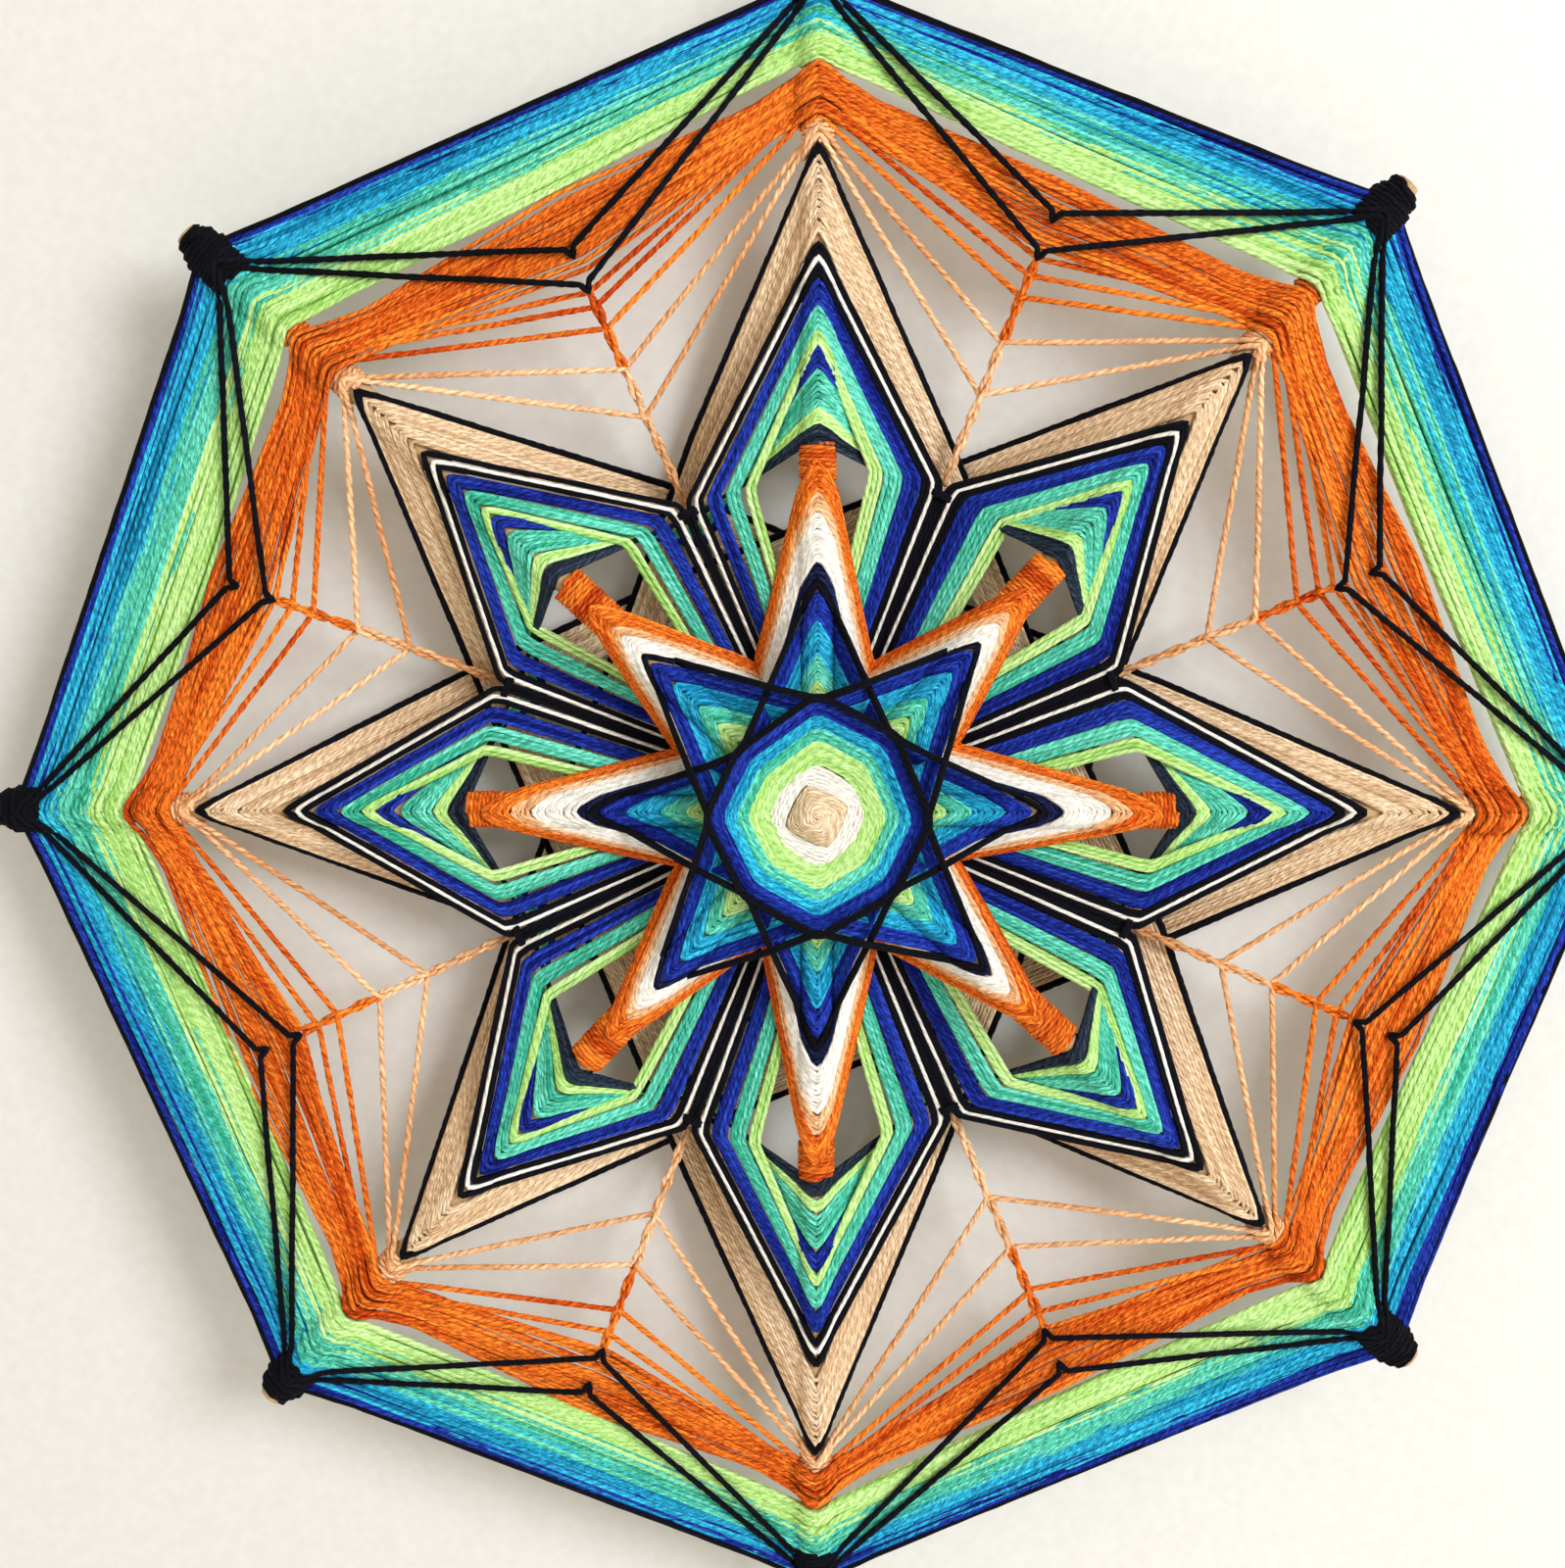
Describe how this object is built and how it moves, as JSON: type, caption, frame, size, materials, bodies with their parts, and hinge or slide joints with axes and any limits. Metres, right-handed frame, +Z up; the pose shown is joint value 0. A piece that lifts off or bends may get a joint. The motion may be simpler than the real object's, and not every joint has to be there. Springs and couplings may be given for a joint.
{
  "type": "ojo de dios",
  "caption": "Star-shaped wall ornament of coloured yarn wound on crossed round sticks, with a raised square eye, layered petals, an open web and a banded outer ring.",
  "frame": {"origin": "on the axis through the hub, on the wall plane that the back of the windings rests on", "axes": "+Z up along the upright stick, +X to the right seen from the front, +Y into the wall"},
  "size_m": [0.44, 0.0443, 0.44],
  "materials": {
    "wood": "bare sanded birch dowel",
    "yarn_black": "blue-black plied yarn",
    "yarn_slate": "slate plied yarn",
    "yarn_navy": "navy plied yarn",
    "yarn_royal_blue": "royal blue plied yarn",
    "yarn_turquoise": "turquoise plied yarn",
    "yarn_mint": "mint plied yarn",
    "yarn_lime": "lime green plied yarn",
    "yarn_white": "warm white plied yarn",
    "yarn_tan": "tan plied yarn",
    "yarn_peach": "peach plied yarn",
    "yarn_orange": "orange plied yarn"
  },
  "bodies": {
    "root": {"stick_upright": "wood", "stick_level": "wood", "stick_rising": "wood", "stick_falling": "wood", "star_tan": "yarn_tan", "star_white": "yarn_white", "star_lime": "yarn_lime", "star_mint": "yarn_mint", "star_turquoise": "yarn_turquoise", "star_royal_blue": "yarn_royal_blue", "star_black": "yarn_black", "spike_navy": "yarn_navy", "spike_white": "yarn_white", "spike_peach": "yarn_peach", "spike_orange": "yarn_orange", "chevron_slate": "yarn_slate", "chevron_lime": "yarn_lime", "chevron_mint": "yarn_mint", "chevron_royal_blue": "yarn_royal_blue", "petal_lime": "yarn_lime", "petal_mint": "yarn_mint", "petal_royal_blue": "yarn_royal_blue", "petal_black_inside": "yarn_black", "petal_white": "yarn_white", "petal_black_outside": "yarn_black", "tan_star": "yarn_tan", "tan_star_outline": "yarn_black", "web_peach": "yarn_peach", "web_orange": "yarn_orange", "band_orange": "yarn_orange", "ring_lime": "yarn_lime", "ring_mint": "yarn_mint", "ring_turquoise": "yarn_turquoise", "ring_royal_blue": "yarn_royal_blue", "ring_black": "yarn_black", "hook_row_near": "yarn_black", "hook_row_far": "yarn_black", "petal_tie_1": "yarn_black", "petal_tie_2": "yarn_black", "petal_tie_3": "yarn_black", "petal_tie_4": "yarn_black", "petal_tie_5": "yarn_black", "petal_tie_6": "yarn_black", "petal_tie_7": "yarn_black", "petal_tie_8": "yarn_black", "tip_wrap_north": "yarn_black", "tip_wrap_northeast": "yarn_black", "tip_wrap_east": "yarn_black", "tip_wrap_southeast": "yarn_black", "tip_wrap_south": "yarn_black", "tip_wrap_southwest": "yarn_black", "tip_wrap_west": "yarn_black", "tip_wrap_northwest": "yarn_black"}
  },
  "joints": []
}
